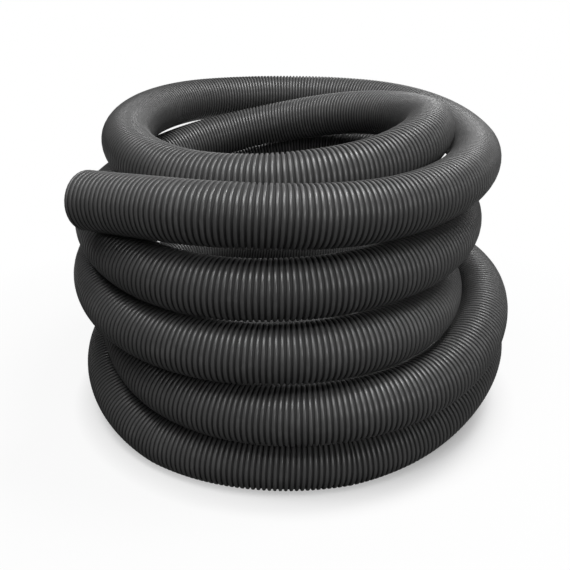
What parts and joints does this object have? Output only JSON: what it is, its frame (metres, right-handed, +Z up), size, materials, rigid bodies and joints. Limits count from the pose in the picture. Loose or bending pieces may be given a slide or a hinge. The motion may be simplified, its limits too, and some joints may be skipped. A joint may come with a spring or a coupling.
{
  "type": "vacuum hose",
  "caption": "Spiral-ribbed flexible vacuum hose with plain cut ends, coiled up and standing free on the floor, with an open bore at each end.",
  "frame": {"origin": "on the floor, under the middle of the coil", "axes": "+Z up; -Y towards the front, where the turns lie nearly level; the top end is cut off towards -X"},
  "size_m": [0.4188, 0.4306, 0.3043],
  "materials": {
    "hose_plastic": "satin dark grey soft PVC"
  },
  "bodies": {
    "root": {"hose_coil": "hose_plastic", "top_end": "hose_plastic", "floor_end": "hose_plastic"}
  },
  "joints": []
}
